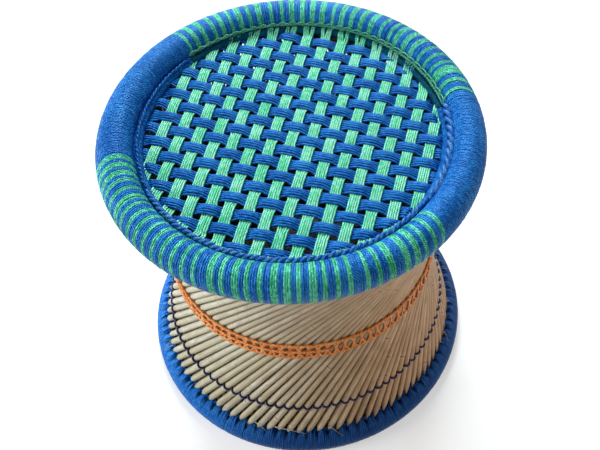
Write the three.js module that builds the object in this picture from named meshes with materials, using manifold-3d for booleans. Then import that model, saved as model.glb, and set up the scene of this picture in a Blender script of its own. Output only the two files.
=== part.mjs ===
// A mudda: a round stool of crossed reeds, with a wound rim and base ring and a woven seat.
// Millimetres, +Z up. The origin is on the floor, at the middle of the base ring.
// Seen from the front the viewer looks along +Y, with +X to the right.

import * as THREE from 'three';
import { mergeVertices } from 'three/addons/utils/BufferGeometryUtils.js';
import Module from 'manifold-3d';

const wasm = await Module();
wasm.setup();

// Driving sizes of the whole stool
const stoolHeight = 392;
const rimOuterRadius = 200;
const rimRollRadius = 19;
const baseOuterRadius = 209;
const baseRollRadius = 13;
const footFlatDepth = 0.5;
const contactGap = 0.3;
const facetGap = 0.8;
const stuffingGap = 1.6;

// Reeds: straight sticks in two layers that lean opposite ways round the waist
const waistShare = 0.8133;
const reedTopOutset = 3;
const reedFootInset = 5;
const innerLeanDegreesLess = 0.8;
const reedSides = 6;
const reedContact = 0.12;
const reedGroupGap = 0.5;
const outerReeds = { name: 'outer_reeds', count: 96, perGroup: 4, sense: 1 };
const innerReeds = { name: 'inner_reeds', count: 90, perGroup: 6, sense: -1 };
const reedTipLength = 9;
const reedTipShare = 0.45;

// Rim: stuffing, a wrap in four lengths, and a green winding on two of them
const rimFlatDepth = 4;
const rimWrapThickness = 3;
const rimArcSteps = 7;
const rimDegreesPerStep = 9;
const stripeWidth = 6;
const stripeThickness = 1.6;
const stripedBack = { name: 'striped_back', endDegrees: 132, stripes: 20 };
const blueLeft = { name: 'blue_left', endDegrees: 190, stripes: 0 };
const stripedFront = { name: 'striped_front', endDegrees: 313, stripes: 22 };
const blueRight = { name: 'blue_right', endDegrees: 367, stripes: 0 };

// Base ring: stuffing in a wrap that is open where the inner reeds stand in it
const baseWrapThickness = 3;
const baseArcSteps = 5;
const baseInsideSteps = 2;
const ringSteps = 40;
const stuffingArcSteps = 4;
const ledgeRise = 2.5;

// Seat: flat ribbons of cord, woven one over and one under inside a cane hoop
const seatDrop = 2;
const weaveTurn = -18;
const ribbonThickness = 2.2;
const weaveRise = 3.6;
const hoopTubeRadius = 3.2;
const hoopGap = 0.4;
const linkWidth = 3.4;
const edgeMargin = 23;
const weavePhase = 1;
const warpLanes = { count: 15, margin: 13.6, widthShare: 0.553, side: 1 };
const weftLanes = { count: 18, margin: 7.65, widthShare: 0.735, side: -1 };
const edgeCordRadius = 2.2;
const edgeCordSides = 4;
const hoopSides = 4;
const thinCordSides = 3;
const bandCordSides = 4;

// Orange band round the waist, and the twine above the base ring
const bandDrop = 14;
const bandWidth = 28;
const bandCordRadius = 1.7;
const lacingRadius = 1.2;
const lacingWaves = 42;
const stitchRise = 48;
const twineRadius = 0.8;
const stitchDrop = 1.5;
const stitchDip = 1.2;

// Sizes that follow from the driving ones
const rimCentre = { radius: rimOuterRadius - rimRollRadius, height: stoolHeight - rimRollRadius };
const baseCentre = {
  radius: baseOuterRadius - baseRollRadius,
  height: baseRollRadius - footFlatDepth,
};
const rimFlatHeight = rimCentre.height - rimRollRadius + rimFlatDepth;
const rimInnerRadius = rimCentre.radius - rimRollRadius;
const reedTopHeight = rimFlatHeight - contactGap;
const baseTopHeight = baseCentre.height + baseRollRadius;
const ledgeHeight = baseCentre.height + ledgeRise;
const seatHeight = rimCentre.height - seatDrop;
const stitchHeight = baseTopHeight + stitchRise;
const innerReedFoot = ledgeHeight + contactGap;
const outerReedFoot = baseTopHeight + 2 * contactGap;

// The outer reeds run straight from the base ring to the rim, past the waist between them
const reedTopRadius = rimCentre.radius + reedTopOutset;
const reedFootRadius = baseCentre.radius - reedFootInset;
const waistRadius = waistShare * (reedTopRadius + reedFootRadius) / 2;
const topSwing = Math.sqrt(reedTopRadius ** 2 - waistRadius ** 2);
const footSwing = Math.sqrt(reedFootRadius ** 2 - waistRadius ** 2);
const outerLean = Math.atan((topSwing + footSwing) / (reedTopHeight - outerReedFoot));
const waistHeight = outerReedFoot + footSwing / Math.tan(outerLean);
const bandHeight = waistHeight - bandDrop;

const materials = {
  reed: [new THREE.Color(0.74, 0.62, 0.44), 0.7],
  innerReed: [new THREE.Color(0.55, 0.43, 0.29), 0.8],
  blue: [new THREE.Color(0.04, 0.2, 0.62), 0.55],
  navy: [new THREE.Color(0.03, 0.09, 0.34), 0.6],
  green: [new THREE.Color(0.1, 0.62, 0.38), 0.5],
  orange: [new THREE.Color(0.82, 0.36, 0.08), 0.55],
  stuffing: [new THREE.Color(0.52, 0.42, 0.24), 0.9],
  cane: [new THREE.Color(0.6, 0.42, 0.2), 0.6],
};

const radians = THREE.MathUtils.degToRad;
const up = new THREE.Vector3(0, 0, 1);
const radialAt = (angle) => new THREE.Vector3(Math.cos(angle), Math.sin(angle), 0);
const tangentAt = (angle) => new THREE.Vector3(-Math.sin(angle), Math.cos(angle), 0);
const onRing = (angle, radius, height) => radialAt(angle).multiplyScalar(radius).setZ(height);
const range = (count) => Array.from({ length: count }, (_, index) => index);

// A solid from vertices and triangles, turned so that its faces point out
function solidFrom(points, faces) {
  const volume = (a, b, c) => points[a].dot(points[b].clone().cross(points[c]));
  let total = 0;
  for (let i = 0; i < faces.length; i += 3) total += volume(faces[i], faces[i + 1], faces[i + 2]);
  const geometry = new THREE.BufferGeometry().setFromPoints(points);
  geometry.setIndex(total < 0 ? faces.slice().reverse() : faces);
  return geometry;
}

// Walls between neighbouring sections, each a ring of the same number of points
function wallsBetween(sections, isLoop) {
  const sides = sections[0].length;
  const faces = [];
  for (const i of range(isLoop ? sections.length : sections.length - 1)) {
    const next = (i + 1) % sections.length;
    for (const j of range(sides)) {
      const [a, b] = [i * sides + j, i * sides + ((j + 1) % sides)];
      const [c, d] = [next * sides + ((j + 1) % sides), next * sides + j];
      faces.push(a, b, c, a, c, d);
    }
  }
  return faces;
}

// A solid swept through convex sections, open ends closed by a flat face
function sweep(sections, isLoop = false) {
  const sides = sections[0].length;
  const faces = wallsBetween(sections, isLoop);
  const last = (sections.length - 1) * sides;
  for (const j of isLoop ? [] : range(sides - 2)) {
    faces.push(0, j + 2, j + 1, last, last + j + 1, last + j + 2);
  }
  return solidFrom(sections.flat(), faces);
}

// A pipe swept through pairs of outer and inner sections, with a ring face at each end
function sweepPipe(outer, inner) {
  const sides = outer[0].length;
  const shift = outer.length * sides;
  const last = shift - sides;
  const inward = wallsBetween(inner, false).reverse();
  const faces = [...wallsBetween(outer, false), ...inward.map((index) => index + shift)];
  for (const j of range(sides)) {
    const k = (j + 1) % sides;
    faces.push(k, j, j + shift, k, j + shift, k + shift);
    faces.push(last + j, last + k, last + k + shift, last + j, last + k + shift, last + j + shift);
  }
  return solidFrom([...outer.flat(), ...inner.flat()], faces);
}

// A ring turned round the stool's axis from a closed outline of [radius, height] points
function turned(outline, steps) {
  const sections = range(steps).map((step) => {
    const angle = (2 * Math.PI * step) / steps;
    return outline.map(([radius, height]) => onRing(angle, radius, height));
  });
  const contour = outline.map(([radius, height]) => new THREE.Vector2(radius, height));
  if (THREE.ShapeUtils.isClockWise(contour)) sections.forEach((section) => section.reverse());
  return solidFrom(sections.flat(), wallsBetween(sections, true));
}

function asManifold(geometry) {
  const merged = mergeVertices(geometry);
  const vertProperties = new Float32Array(merged.attributes.position.array);
  const triVerts = new Uint32Array(merged.index.array);
  return new wasm.Manifold(new wasm.Mesh({ numProp: 3, vertProperties, triVerts }));
}

// Solids that press into each other a little, joined into one
function joined(geometries) {
  const whole = geometries.map(asManifold).reduce((sum, solid) => sum.add(solid));
  const { vertProperties, triVerts } = whole.getMesh();
  const geometry = new THREE.BufferGeometry();
  geometry.setAttribute('position', new THREE.BufferAttribute(vertProperties, 3));
  geometry.setIndex(Array.from(triVerts));
  return geometry;
}

// Points of an arc about a ring's centre line, as [radius, height] pairs
function arcPoints(centre, radius, fromAngle, toAngle, steps) {
  return range(steps + 1).map((step) => {
    const angle = THREE.MathUtils.lerp(fromAngle, toAngle, step / steps);
    return [centre.radius + radius * Math.cos(angle), centre.height + radius * Math.sin(angle)];
  });
}

// A round roll's outline with a flat underside, inset from its outer size
function rollOutline(inset, arcSteps = rimArcSteps) {
  const radius = rimRollRadius - inset;
  const flatAngle = Math.asin((rimFlatHeight + inset - rimCentre.height) / radius);
  return arcPoints(rimCentre, radius, flatAngle, Math.PI - flatAngle, arcSteps);
}

// A reed layer's widths follow from how many reeds stand side by side at the waist
function reedLayer(layer, radius, lean) {
  const groups = layer.count / layer.perGroup;
  const around = 2 * Math.PI * radius * Math.cos(lean);
  const pressed = reedContact * (layer.perGroup - 1);
  const width = (around / groups - reedGroupGap + pressed) / layer.perGroup;
  const size = width / 2;
  const step = (width - reedContact) / (radius * Math.cos(lean));
  return { ...layer, radius, lean, groups, size, step };
}

const innerLean = outerLean - radians(innerLeanDegreesLess);
const outerLayer = reedLayer(outerReeds, waistRadius, outerLean);
const innerStart = waistRadius - 2 * outerLayer.size - contactGap;
const innerSize = reedLayer(innerReeds, innerStart, innerLean).size;
const innerLayer = reedLayer(innerReeds, innerStart + outerLayer.size - innerSize, innerLean);

const reedAngle = (layer, group, index) =>
  (2 * Math.PI * group) / layer.groups + layer.step * (index - (layer.perGroup - 1) / 2);

// The corners of one reed's section where a level plane cuts it, a share of its full size.
// Corners face the neighbours, so that the reeds of a group press together at the waist.
function reedSection(layer, angle, height, share = 1) {
  const radial = radialAt(angle);
  const axis = tangentAt(angle).multiplyScalar(layer.sense * Math.sin(layer.lean));
  axis.addScaledVector(up, Math.cos(layer.lean));
  const across = axis.clone().cross(radial);
  return range(reedSides).map((side) => {
    const turn = (2 * Math.PI * side) / reedSides - Math.PI / 2;
    const corner = onRing(angle, layer.radius, waistHeight);
    corner.addScaledVector(radial, share * layer.size * Math.cos(turn));
    corner.addScaledVector(across, share * layer.size * Math.sin(turn));
    return corner.addScaledVector(axis, (height - corner.z) / axis.z);
  });
}

const reach = (section) => section.map((corner) => Math.hypot(corner.x, corner.y));
const outerReach = (layer, height) => Math.max(...reach(reedSection(layer, 0, height)));

function outerReed(angle) {
  const shoulder = outerReedFoot + reedTipLength * Math.cos(outerLayer.lean);
  return sweep([
    reedSection(outerLayer, angle, outerReedFoot, reedTipShare),
    reedSection(outerLayer, angle, shoulder),
    reedSection(outerLayer, angle, reedTopHeight),
  ]);
}

function innerReed(angle) {
  return sweep([
    reedSection(innerLayer, angle, innerReedFoot),
    reedSection(innerLayer, angle, reedTopHeight),
  ]);
}

function reedGroup(layer, makeReed, group) {
  return joined(range(layer.perGroup).map((index) => makeReed(reedAngle(layer, group, index))));
}

// One length of the rim's wrap, a pipe round the stuffing
const stripeInset = stripeThickness + facetGap;
const wrapInnerInset = stripeInset + rimWrapThickness;
const rimOrder = [stripedBack, blueLeft, stripedFront, blueRight];
const rimLengths = rimOrder.map((length, index) => {
  const startDegrees = index ? rimOrder[index - 1].endDegrees : rimOrder.at(-1).endDegrees - 360;
  return { ...length, start: radians(startDegrees), end: radians(length.endDegrees) };
});

function rimWrap(length) {
  const endGap = contactGap / rimCentre.radius;
  const from = length.start + endGap / 2;
  const to = length.end - endGap / 2;
  const steps = Math.ceil((length.end - length.start) / radians(rimDegreesPerStep));
  const along = (outline) => range(steps + 1).map((step) => {
    const angle = THREE.MathUtils.lerp(from, to, step / steps);
    return outline.map(([radius, height]) => onRing(angle, radius, height));
  });
  const outer = rollOutline(length.stripes ? stripeInset : 0);
  return sweepPipe(along(outer), along(rollOutline(wrapInnerInset)));
}

const rimStuffing = () =>
  turned(rollOutline(wrapInnerInset + stuffingGap, stuffingArcSteps), ringSteps);

// The green cord of a striped length, wound round the rim as one unbroken strip
function stripeWinding(length) {
  const outer = rollOutline(0);
  const inner = rollOutline(stripeThickness);
  const margin = (stripeWidth / 2 + contactGap) / rimInnerRadius;
  const stops = length.stripes * outer.length;
  const points = range(stops).map((index) => {
    const corner = index % outer.length;
    const [from, to] = [length.start + margin, length.end - margin];
    const angle = THREE.MathUtils.lerp(from, to, index / (stops - 1));
    return { angle, outer: outer[corner], inner: inner[corner] };
  });
  const sections = points.map(({ angle, outer: [radius, height], inner: [low, level] }) => {
    const half = tangentAt(angle).multiplyScalar(stripeWidth / 2);
    const [skin, seat] = [onRing(angle, radius, height), onRing(angle, low, level)];
    return [
      skin.clone().add(half),
      skin.clone().sub(half),
      seat.clone().sub(half),
      seat.clone().add(half),
    ];
  });
  printLeastGap(length.name, points, outer.length);
  return sweep(sections);
}

// The least gap between a winding's turns, from each point to the points a turn ahead
function printLeastGap(name, points, perTurn) {
  const places = points.map(({ angle, inner: [low, level] }) => onRing(angle, low, level));
  const ahead = (place, index) => places.slice(index + perTurn - 1, index + perTurn + 2);
  const gaps = places.flatMap((place, index) =>
    ahead(place, index).map((other) => place.distanceTo(other) - stripeWidth));
  console.log(`${name}: least gap between turns ${Math.min(...gaps).toFixed(2)} mm`);
}

// Base ring: the wrap is open over the ledge that the inner reeds stand on
const wallRadius = outerReach(innerLayer, innerReedFoot) + facetGap;
const wallAngle = Math.acos((wallRadius - baseCentre.radius) / baseRollRadius);
const ledgeAngle = Math.asin((ledgeHeight - baseCentre.height) / baseRollRadius);

function baseWrap() {
  const flatAngle = Math.asin(baseCentre.height / baseRollRadius);
  const inner = baseRollRadius - baseWrapThickness;
  const insideAngle = -Math.PI - ledgeAngle;
  return turned([
    ...arcPoints(baseCentre, baseRollRadius, wallAngle, -flatAngle, baseArcSteps),
    ...arcPoints(baseCentre, baseRollRadius, flatAngle - Math.PI, insideAngle, baseInsideSteps),
    ...arcPoints(baseCentre, inner, insideAngle, wallAngle, baseArcSteps),
  ], ringSteps);
}

function baseStuffing() {
  const radius = baseRollRadius - baseWrapThickness - stuffingGap;
  const stuffingLedge = ledgeHeight - facetGap;
  const top = Math.acos((wallRadius - baseCentre.radius) / radius);
  const side = Math.asin((stuffingLedge - baseCentre.height) / radius);
  return turned([
    ...arcPoints(baseCentre, radius, top, -Math.PI - side, stuffingArcSteps),
    [wallRadius, stuffingLedge],
  ], ringSteps);
}

// Seat hoop: the cane ring that the ribbons turn round
const hoopRadius = rimInnerRadius - hoopGap - hoopTubeRadius;
const hoopClear = hoopTubeRadius + contactGap + ribbonThickness / 2;

function seatHoop() {
  const ring = new THREE.TorusGeometry(hoopRadius, hoopTubeRadius, hoopSides, ringSteps);
  ring.deleteAttribute('normal');
  ring.deleteAttribute('uv');
  return mergeVertices(ring.translate(0, 0, seatHeight));
}

// A family of ribbons fills the hoop up to its margin
function ribbonFamily(family) {
  const pitch = 2 * (hoopRadius - family.margin) / (family.count - 1 + family.widthShare);
  return { ...family, pitch, width: family.widthShare * pitch };
}

const warp = ribbonFamily(warpLanes);
const weft = ribbonFamily(weftLanes);
const lanes = (family) => range(family.count).map((i) => family.pitch * (i - (family.count - 1) / 2));

// One ribbon of a family from edge to edge: its places along, and its height at each
function ribbonStops(family, other, lane, index) {
  const entryRadius = hoopRadius - hoopTubeRadius - ribbonThickness;
  const entry = Math.sqrt(entryRadius ** 2 - (Math.abs(lane) + family.width / 2) ** 2);
  const stops = [{ along: -entry, lift: family.side * hoopClear }];
  lanes(other).forEach((place, crossing) => {
    if (Math.abs(place) > entry - other.width / 2) return;
    const isAtEdge = hoopRadius - Math.hypot(place, lane) < edgeMargin;
    const isOver = (index + crossing + weavePhase) % 2 === 0;
    const side = isAtEdge || isOver === family.side > 0 ? 1 : -1;
    stops.push({ along: place, lift: (isAtEdge ? family.side : side) * weaveRise });
  });
  stops.push({ along: entry, lift: family.side * hoopClear });
  return stops.filter((stop, place) => !isLevel(stops, place));
}

// Whether a stop lies at the same height as the stops on both sides of it
const isLevel = (stops, place) =>
  [stops[place - 1], stops[place + 1]].every((other) => other?.lift === stops[place].lift);

// A family's ribbons as one unbroken run that turns back at the hoop after each lane
function ribbonRun(family, other, turn) {
  const across = radialAt(turn);
  const along = tangentAt(turn);
  const level = seatHeight + family.side * hoopClear;
  const place = (lane, distance, height) =>
    across.clone().multiplyScalar(lane).addScaledVector(along, distance).setZ(height);
  const points = lanes(family).flatMap((lane, index) => {
    const way = index % 2 ? -1 : 1;
    const reachAlong = Math.sqrt(hoopRadius ** 2 - lane ** 2);
    const link = (end) => ({ at: place(lane, way * end * reachAlong, level), width: linkWidth });
    const stops = ribbonStops(family, other, lane, index);
    if (way < 0) stops.reverse();
    return [
      link(-1),
      ...stops.map((stop) => ({
        at: place(lane, stop.along, seatHeight + stop.lift),
        width: family.width,
      })),
      link(1),
    ];
  });
  return sweep(ribbonSections(points));
}

// Flat sections square to the run as seen from above
function ribbonSections(points) {
  return points.map(({ at, width }, index) => {
    const before = points[Math.max(index - 1, 0)].at;
    const after = points[Math.min(index + 1, points.length - 1)].at;
    const arriving = at.clone().sub(before).setZ(0).normalize();
    const leaving = after.clone().sub(at).setZ(0).normalize();
    const across = arriving.add(leaving).cross(up).normalize().multiplyScalar(width / 2);
    const rise = up.clone().multiplyScalar(ribbonThickness / 2);
    return [
      at.clone().add(across).add(rise),
      at.clone().sub(across).add(rise),
      at.clone().sub(across).sub(rise),
      at.clone().add(across).sub(rise),
    ];
  });
}

// A round cord through rings of points that lie about the stool's axis
function cordSection(angle, radius, height, cordRadius, sides) {
  return range(sides).map((side) => {
    const turn = (2 * Math.PI * (side + 0.5)) / sides;
    return onRing(angle, radius + cordRadius * Math.cos(turn), height + cordRadius * Math.sin(turn));
  });
}

function edgeCord({ start, end }) {
  const clear = contactGap + edgeCordRadius;
  const radius = hoopRadius - contactGap;
  const height = seatHeight + hoopClear + ribbonThickness / 2 + clear;
  const steps = Math.ceil((end - start) / radians(rimDegreesPerStep));
  const endGap = contactGap / hoopRadius;
  return sweep(range(steps + 1).map((step) => {
    const share = step / steps;
    const angle = THREE.MathUtils.lerp(start + endGap, end - endGap, share);
    return cordSection(angle, radius, height, edgeCordRadius, edgeCordSides);
  }));
}

// The waist band's two border cords and the lacing that runs between them
const bandSeatRadius = (height) => outerReach(outerLayer, height) + contactGap;

function borderCord(height) {
  const radius = (bandSeatRadius(height) + bandCordRadius) / Math.cos(Math.PI / ringSteps);
  return sweep(range(ringSteps).map((step) => {
    const angle = (2 * Math.PI * step) / ringSteps;
    return cordSection(angle, radius, height, bandCordRadius, bandCordSides);
  }), true);
}

function bandLacing() {
  const swing = bandWidth / 2 - 2 * bandCordRadius - contactGap - lacingRadius;
  const turns = 2 * lacingWaves;
  return sweep(range(turns).map((step) => {
    const height = bandHeight + swing * (step % 2 ? -1 : 1);
    const radius = (bandSeatRadius(height) + lacingRadius) / Math.cos(Math.PI / turns);
    return cordSection((2 * Math.PI * step) / turns, radius, height, lacingRadius, thinCordSides);
  }), true);
}

// Twine that runs down over each outer reed and dips into the gap after it
const twineSection = (angle, radius, height) =>
  cordSection(angle, radius, height, twineRadius, thinCordSides);

function footStitch() {
  const crest = outerReach(outerLayer, stitchHeight - stitchDrop) + contactGap + twineRadius;
  const sweepBack = Math.tan(outerLayer.lean) * (stitchHeight - waistHeight) / waistRadius;
  const angles = range(outerLayer.groups).flatMap((group) =>
    range(outerLayer.perGroup).map((index) => reedAngle(outerLayer, group, index)));
  return sweep(angles.flatMap((angle, index) => {
    const next = index + 1 < angles.length ? angles[index + 1] : angles[0] + 2 * Math.PI;
    const here = Math.atan(sweepBack);
    return [
      twineSection(angle + here, crest, stitchHeight - stitchDrop),
      twineSection((angle + next) / 2 + here, crest - stitchDip, stitchHeight),
    ];
  }), true);
}

const stool = new THREE.Group();

function addPiece(name, geometry, [color, roughness]) {
  const material = new THREE.MeshStandardMaterial({ color, roughness, metalness: 0 });
  const mesh = new THREE.Mesh(geometry, material);
  mesh.name = name;
  stool.add(mesh);
}

const numbered = (name, index) => `${name}_${String(index + 1).padStart(2, '0')}`;

for (const group of range(outerLayer.groups)) {
  const geometry = reedGroup(outerLayer, outerReed, group);
  addPiece(numbered(outerLayer.name, group), geometry, materials.reed);
}
for (const group of range(innerLayer.groups)) {
  const geometry = reedGroup(innerLayer, innerReed, group);
  addPiece(numbered(innerLayer.name, group), geometry, materials.innerReed);
}
addPiece('base_stuffing', baseStuffing(), materials.stuffing);
addPiece('base_wrap', baseWrap(), materials.navy);
addPiece('rim_stuffing', rimStuffing(), materials.stuffing);
for (const length of rimLengths) {
  addPiece(`rim_wrap_${length.name}`, rimWrap(length), materials.blue);
  if (length.stripes) {
    addPiece(`green_winding_${length.name}`, stripeWinding(length), materials.green);
  }
}
addPiece('seat_hoop', seatHoop(), materials.cane);
addPiece('seat_warp', ribbonRun(warp, weft, radians(weaveTurn)), materials.green);
addPiece('seat_weft', ribbonRun(weft, warp, radians(weaveTurn + 90)), materials.blue);
const [backLength] = rimLengths;
const frontStretch = { start: backLength.end, end: backLength.start + 2 * Math.PI };
addPiece('edge_cord_back', edgeCord(backLength), materials.green);
addPiece('edge_cord_front', edgeCord(frontStretch), materials.blue);
const borderOffset = bandWidth / 2 - bandCordRadius;
addPiece('band_cord_upper', borderCord(bandHeight + borderOffset), materials.orange);
addPiece('band_cord_lower', borderCord(bandHeight - borderOffset), materials.orange);
addPiece('band_lacing', bandLacing(), materials.orange);
addPiece('foot_stitch', footStitch(), materials.navy);

export default stool;
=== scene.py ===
# The looks of a mudda stool: crossed reeds, two rolls wound with cord, and a seat woven from cords.
# Metres, +Z up, the origin on the floor at the middle of the base ring, the front towards -Y.
import math
from collections import namedtuple

import bpy
import numpy as np
from mathutils import Matrix, Vector


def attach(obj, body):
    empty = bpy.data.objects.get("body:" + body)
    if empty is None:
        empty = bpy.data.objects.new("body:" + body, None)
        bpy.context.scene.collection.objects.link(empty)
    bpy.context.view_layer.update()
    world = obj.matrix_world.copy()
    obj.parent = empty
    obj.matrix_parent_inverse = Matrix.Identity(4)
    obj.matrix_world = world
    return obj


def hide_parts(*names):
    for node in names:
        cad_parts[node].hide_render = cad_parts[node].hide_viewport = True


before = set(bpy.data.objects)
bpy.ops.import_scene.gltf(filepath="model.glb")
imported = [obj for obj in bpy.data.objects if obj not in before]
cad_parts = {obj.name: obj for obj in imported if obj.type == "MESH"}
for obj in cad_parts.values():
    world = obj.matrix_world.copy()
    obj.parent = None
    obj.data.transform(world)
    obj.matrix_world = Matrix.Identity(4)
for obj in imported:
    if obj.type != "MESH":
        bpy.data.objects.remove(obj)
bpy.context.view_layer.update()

MM = 0.001
TURN = 2 * math.pi
UP = np.array([0, 0, 1.0])

# Driving sizes: the stool's height, its waist, and the reach and the section's radius of both rolls
STOOL_HEIGHT, WAIST_HEIGHT = 392 * MM, 201.1 * MM
RIM_OUTER, RIM_ROLL = 200 * MM, 19 * MM
BASE_OUTER, BASE_ROLL = 209 * MM, 13 * MM

# Rim and base rolls: the middle of each roll's section, the rim's flat underside and the base's top
RIM_RADIUS, RIM_HEIGHT = RIM_OUTER - RIM_ROLL, STOOL_HEIGHT - RIM_ROLL
RIM_FLAT = RIM_HEIGHT - RIM_ROLL + 4 * MM
BASE_RADIUS, BASE_HEIGHT = BASE_OUTER - BASE_ROLL, BASE_ROLL - 0.5 * MM
BASE_TOP = BASE_HEIGHT + BASE_ROLL

# The rolls' cord: its number of turns, half its height, and half its width as a share of the turns' step
RIM_TURNS, TURNS_PER_GAP = 524, 6
CORD_HIGH, CORD_WIDE_SHARE = 1.05 * MM, 0.6

# Where the rim's four lengths of winding meet, in degrees round from +X
BACK_START, LEFT_START, FRONT_START, RIGHT_START = 7, 132, 190, 313

# Reeds: two layers of straight sticks round the same waist. A layer's sense is the way it leans, its step
# is that of the reeds in a group, and its tip is the length over which a reed is cut to a point
Layer = namedtuple("Layer", "count group waist lean sense size step foot tip")
OUTER = Layer(
    count=96, group=4, waist=152.5 * MM, lean=math.radians(33.3), sense=1,
    size=3.95 * MM, step=8.19 * MM, foot=BASE_TOP + 0.1 * MM, tip=11 * MM,
)
INNER = Layer(
    count=90, group=6, waist=143.9 * MM, lean=math.radians(32.5), sense=-1,
    size=4.1 * MM, step=8.37 * MM, foot=BASE_HEIGHT + 2.8 * MM, tip=1.5 * MM,
)
REED_TOP = RIM_FLAT + 0.6 * MM

# Seat: ribbons of cords, woven inside a hoop of cane, with chains of cord along its edge
SEAT_HEIGHT = RIM_HEIGHT - 2 * MM
HOOP_TUBE = 3.1 * MM
HOOP_RADIUS = RIM_RADIUS - RIM_ROLL - 3.6 * MM
EDGE_RADIUS, EDGE_HEIGHT = HOOP_RADIUS + 1.6 * MM, SEAT_HEIGHT + 8 * MM
CORDS_PER_RIBBON = 5

# A family of ribbons: its turn about +Z, its side of the hoop (-1 above, 1 below), how far its cords rise
# and how flat they stay on top, how far a ribbon domes and spreads, and how its lanes have moved
Family = namedtuple("Family", "count pitch width turn side rise flatness dome spread drift")
SEAT_TURN = math.radians(-18)
GREEN = Family(
    count=15, pitch=19.9 * MM, width=11.3 * MM, turn=SEAT_TURN, side=-1,
    rise=1.0 * MM, flatness=0.4, dome=0.6 * MM, spread=0.24,
    drift=(-0.5 * MM, -0.016, 0.19, 0.0, -0.006, 0.2),
)
BLUE = Family(
    count=18, pitch=17 * MM, width=12.2 * MM, turn=SEAT_TURN + TURN / 4, side=1,
    rise=2.6 * MM, flatness=0.35, dome=1.7 * MM, spread=0.4,
    drift=(1.9 * MM, -0.041, -0.30, 1.74, 0.022, 0.27),
)

# Band and foot twine
BAND_HEIGHT, BAND_WIDTH = WAIST_HEIGHT - 14 * MM, 28 * MM
BORDER_OFFSET = BAND_WIDTH / 2 - 1.9 * MM
TWINE_HEIGHT, TWINE_SIZE = BASE_TOP + 48 * MM, 1.3 * MM


# Shapes


def unit(vectors):
    """Each vector divided by its own length."""
    return vectors / np.linalg.norm(vectors, axis=-1, keepdims=True)


def full_turn(steps):
    """Angles evenly round one turn."""
    return np.arange(steps) * TURN / steps


def ring_point(angle, radius, height):
    """(radius cos(angle), radius sin(angle), height) for arrays that fit one another."""
    angle, radius, height = np.broadcast_arrays(angle, radius, height)
    return np.stack([radius * np.cos(angle), radius * np.sin(angle), height], -1)


def outwards(angle):
    """The level direction away from the axis: (cos(angle), sin(angle), 0)."""
    return ring_point(angle, 1.0, 0.0)


def onwards(angle):
    """The level direction round the ring: (-sin(angle), cos(angle), 0)."""
    return ring_point(angle + TURN / 4, 1.0, 0.0)


def smooth_step(share):
    """3 s^2 - 2 s^3 with s held between 0 and 1."""
    share = np.clip(share, 0, 1)
    return share * share * (3 - 2 * share)


def tubes(paths, outward, high, wide, sides=8, closed=False, shift=0, tone=0.5):
    """Skins of tubes along paths of shape (tubes, stations, 3).

    With t the path's direction, n the outward direction made square to t, and b = t x n, the skin at
    angle a is path + high cos(a) n + wide sin(a) b. The UV map holds the metres run along the path,
    with the tube's own shift added, and a as a share of a full turn."""
    count, stations, _ = paths.shape
    if closed:
        direction = unit(np.roll(paths, -1, 1) - np.roll(paths, 1, 1))
    else:
        direction = unit(np.gradient(paths, axis=1))
    outward = np.broadcast_to(outward, paths.shape)
    side = unit(np.cross(direction, outward))
    normal = np.cross(side, direction)
    turn = full_turn(sides)
    high = np.broadcast_to(high, (count, stations))[..., None, None] * np.cos(turn)[:, None]
    wide = np.broadcast_to(wide, (count, stations))[..., None, None] * np.sin(turn)[:, None]
    points = paths[:, :, None] + high * normal[:, :, None] + wide * side[:, :, None]

    ends = stations if closed else stations - 1
    step = np.linalg.norm(np.roll(paths, -1, 1) - paths, axis=-1)[:, :ends]
    run = np.concatenate([np.zeros((count, 1)), np.cumsum(step, 1)], 1)
    run += np.reshape(np.broadcast_to(shift, count), (count, 1))

    tube, here, k = np.meshgrid(np.arange(count), np.arange(ends), np.arange(sides), indexing="ij")
    there, k_next = (here + 1) % stations, (k + 1) % sides
    index = lambda station, corner: (tube * stations + station) * sides + corner
    quads = np.stack([index(here, k), index(here, k_next), index(there, k_next), index(there, k)], -1)
    low, far = run[tube, here], run[tube, here + 1]
    around = np.stack([k, k + 1, k + 1, k], -1) / sides
    uv = np.stack([np.stack([low, low, far, far], -1), around], -1)

    corner = np.arange(sides)
    first = np.arange(count)[:, None] * stations * sides
    caps = np.zeros((0, sides), int)
    if not closed:
        caps = np.concatenate([first + corner[::-1], first + (stations - 1) * sides + corner])
    tones = np.broadcast_to(np.reshape(np.broadcast_to(tone, count), (count, 1, 1)), points.shape[:3])
    return {
        "points": points.reshape(-1, 3),
        "quads": quads.reshape(-1, 4),
        "uv": uv.reshape(-1, 2),
        "caps": caps,
        "tone": tones.reshape(-1),
    }


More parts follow.
